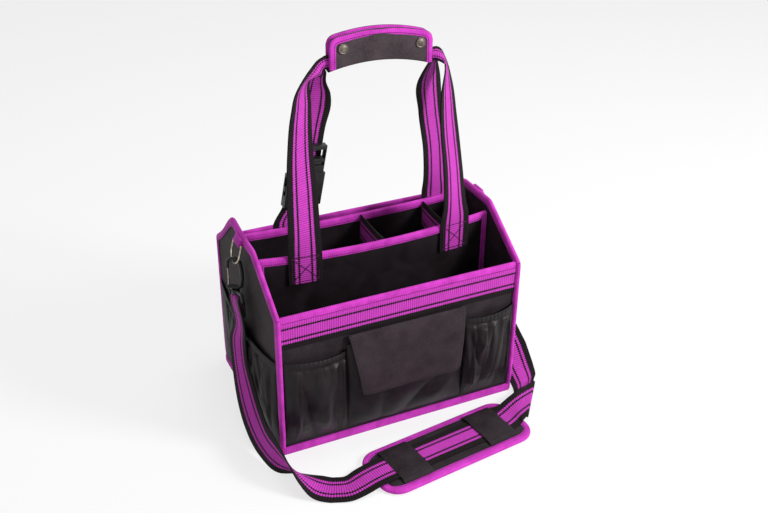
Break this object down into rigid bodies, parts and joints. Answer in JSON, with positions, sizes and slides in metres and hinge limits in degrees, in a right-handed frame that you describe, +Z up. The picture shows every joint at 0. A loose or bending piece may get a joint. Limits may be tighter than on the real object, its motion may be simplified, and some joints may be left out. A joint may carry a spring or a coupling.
{
  "type": "grooming tote",
  "caption": "Open fabric tote with compartments, outside pockets, a padded carry handle, a side release buckle and a webbing shoulder strap with a sliding pad.",
  "frame": {"origin": "centre of the base panel's underside, on the surface that the tote stands on", "axes": "+Z up, +X along the tote towards its right end, +Y towards its back; the flap pocket faces -Y"},
  "size_m": [0.4848, 0.4167, 0.5782],
  "materials": {
    "black_cloth": "black woven polyester, dull",
    "lining_cloth": "black coated lining cloth, slight sheen",
    "magenta_binding": "magenta grosgrain binding tape",
    "striped_webbing": "ribbed webbing, magenta and black stripes",
    "black_plastic": "black moulded acetal, fine grain",
    "nickel": "worn nickel plating",
    "black_metal": "black lacquer over cast metal",
    "stiffener": "plain stiffening board"
  },
  "bodies": {
    "tote": {"base_panel": "black_cloth", "base_board": "stiffener", "base_binding": "magenta_binding", "front_wall": "black_cloth", "back_wall": "black_cloth", "front_top_binding": "magenta_binding", "back_top_binding": "magenta_binding", "front_band": "striped_webbing", "back_band": "striped_webbing", "left_end_panel": "black_cloth", "right_end_panel": "black_cloth", "left_end_binding": "magenta_binding", "right_end_binding": "magenta_binding", "front_divider": "lining_cloth", "back_divider": "lining_cloth", "front_divider_binding": "magenta_binding", "back_divider_binding": "magenta_binding", "left_cross_strap": "striped_webbing", "right_cross_strap": "striped_webbing", "left_front_pocket": "black_cloth", "centre_front_pocket": "black_cloth", "right_front_pocket": "black_cloth", "left_end_pocket": "black_cloth", "right_end_pocket": "black_cloth", "front_left_leg": "striped_webbing", "front_right_leg": "striped_webbing", "back_left_leg": "striped_webbing", "back_right_leg": "striped_webbing", "left_ring_tab": "magenta_binding", "right_ring_tab": "magenta_binding", "left_strap_fall": "striped_webbing", "right_strap_fall": "striped_webbing", "shoulder_strap": "striped_webbing"},
    "handle": {"front_handle_strap": "striped_webbing", "back_handle_strap": "striped_webbing", "buckle_socket": "black_plastic", "wrap_back": "black_cloth", "left_snap_stud": "nickel", "right_snap_stud": "nickel"},
    "wrap_front": {"wrap_flap": "black_cloth", "left_snap_cap": "nickel", "right_snap_cap": "nickel"},
    "buckle_male": {"buckle_plug": "black_plastic"},
    "left_prong": {"left_buckle_prong": "black_plastic"},
    "right_prong": {"right_buckle_prong": "black_plastic"},
    "front_flap": {"pocket_flap": "black_cloth"},
    "left_ring_set": {"left_ring": "nickel", "left_swivel_eye": "black_metal", "left_strap_end": "striped_webbing"},
    "left_snap_hook": {"left_hook": "black_metal"},
    "left_gate": {"left_hook_gate": "nickel"},
    "right_ring_set": {"right_ring": "nickel", "right_swivel_eye": "black_metal", "right_strap_end": "striped_webbing"},
    "right_snap_hook": {"right_hook": "black_metal"},
    "right_gate": {"right_hook_gate": "nickel"},
    "pad": {"shoulder_pad": "black_cloth", "pad_binding": "magenta_binding", "left_keeper": "black_cloth", "right_keeper": "black_cloth"}
  },
  "joints": [
    {"name": "handle_swing", "type": "hinge", "parent": "tote", "child": "handle", "pos_m": [0, 0, 0.279], "axis": [1, 0, 0], "range_deg": [-8, 22], "deforming": ["front_left_leg", "front_right_leg", "back_left_leg", "back_right_leg"]},
    {"name": "wrap_open", "type": "hinge", "parent": "handle", "child": "wrap_front", "pos_m": [0.022, -0.008, 0.5185], "axis": [1, 0, 0], "range_deg": [0, 100]},
    {"name": "buckle_unclip", "type": "slide", "parent": "handle", "child": "buckle_male", "axis": [0.1306, -0.114, 0.9849], "range_m": [0, 0.022]},
    {"name": "left_prong_squeeze", "type": "hinge", "parent": "buckle_male", "child": "left_prong", "pos_m": [-0.0987, 0.0368, 0.36263], "axis": [0.0846, -0.9885, -0.1257], "range_deg": [0, 19]},
    {"name": "right_prong_squeeze", "type": "hinge", "parent": "buckle_male", "child": "right_prong", "pos_m": [-0.0582, 0.04089, 0.35773], "axis": [-0.0846, 0.9885, 0.1257], "range_deg": [0, 19]},
    {"name": "flap_lift", "type": "hinge", "parent": "tote", "child": "front_flap", "pos_m": [0.0065, -0.1331, 0.1827], "axis": [-1, 0, 0], "range_deg": [0, 110]},
    {"name": "left_ring_swing", "type": "hinge", "parent": "tote", "child": "left_ring_set", "pos_m": [-0.1975, 0.005, 0.288], "axis": [0, 1, 0], "range_deg": [0, 15], "deforming": ["left_strap_fall"]},
    {"name": "left_hook_turn", "type": "hinge", "parent": "left_ring_set", "child": "left_snap_hook", "pos_m": [-0.20552, 0.005, 0.21296], "axis": [0, 0, 1], "range_deg": [-6, 12]},
    {"name": "left_gate_open", "type": "hinge", "parent": "left_snap_hook", "child": "left_gate", "pos_m": [-0.2134, 0.01116, 0.21936], "axis": [0.6157, 0.788, 0], "range_deg": [0, 20], "stiffness_Nm_per_rad": 0.02},
    {"name": "right_ring_swing", "type": "hinge", "parent": "tote", "child": "right_ring_set", "pos_m": [0.1975, 0.005, 0.288], "axis": [0, -1, 0], "range_deg": [0, 15], "deforming": ["right_strap_fall"]},
    {"name": "right_hook_turn", "type": "hinge", "parent": "right_ring_set", "child": "right_snap_hook", "pos_m": [0.20552, 0.005, 0.21296], "axis": [0, 0, -1], "range_deg": [-6, 12]},
    {"name": "right_gate_open", "type": "hinge", "parent": "right_snap_hook", "child": "right_gate", "pos_m": [0.2134, 0.01116, 0.21936], "axis": [0.6157, -0.788, 0], "range_deg": [0, 20], "stiffness_Nm_per_rad": 0.02},
    {"name": "pad_slide", "type": "slide", "parent": "tote", "child": "pad", "axis": [0.9917, 0.1288, 0], "range_m": [-0.01, 0.01]}
  ],
  "couplings": [
    {"joint": "left_prong_squeeze", "follows": "buckle_unclip", "rad_per_m": 14.3},
    {"joint": "right_prong_squeeze", "follows": "buckle_unclip", "rad_per_m": 14.3}
  ]
}
